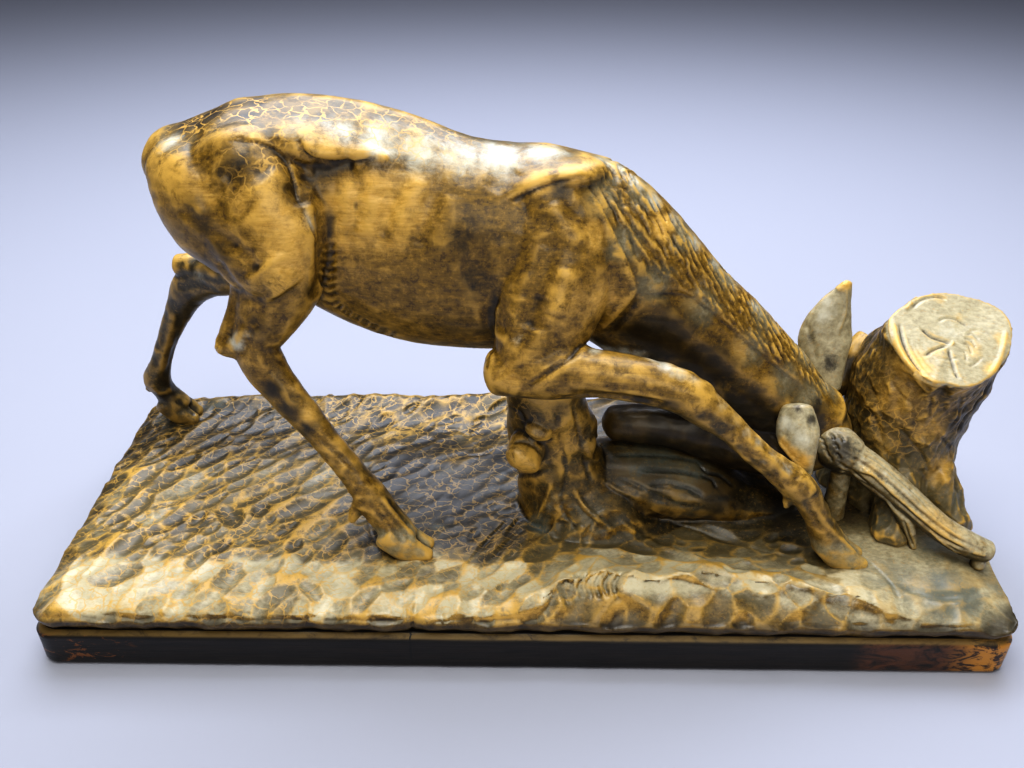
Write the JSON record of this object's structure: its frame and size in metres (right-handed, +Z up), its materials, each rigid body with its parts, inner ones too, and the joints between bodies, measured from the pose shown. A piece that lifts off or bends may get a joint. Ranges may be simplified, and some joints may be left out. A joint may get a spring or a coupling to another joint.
{
  "type": "carved wooden stag statue",
  "caption": "Stag carved from one block of wood, its lowered antlers thrashing a sawn stump, on gouged ground over a plain plinth band.",
  "frame": {"origin": "centre of the plinth's flat underside", "axes": "+X along the plinth from the stag's rump towards the sawn stump, +Y away from the viewer, +Z up"},
  "size_m": [0.5412, 0.2066, 0.2806],
  "materials": {
    "stained_wood": "dark stained and waxed wood, worn to gold on the ridges"
  },
  "bodies": {
    "root": {"stag_carving": "stained_wood"}
  },
  "joints": []
}
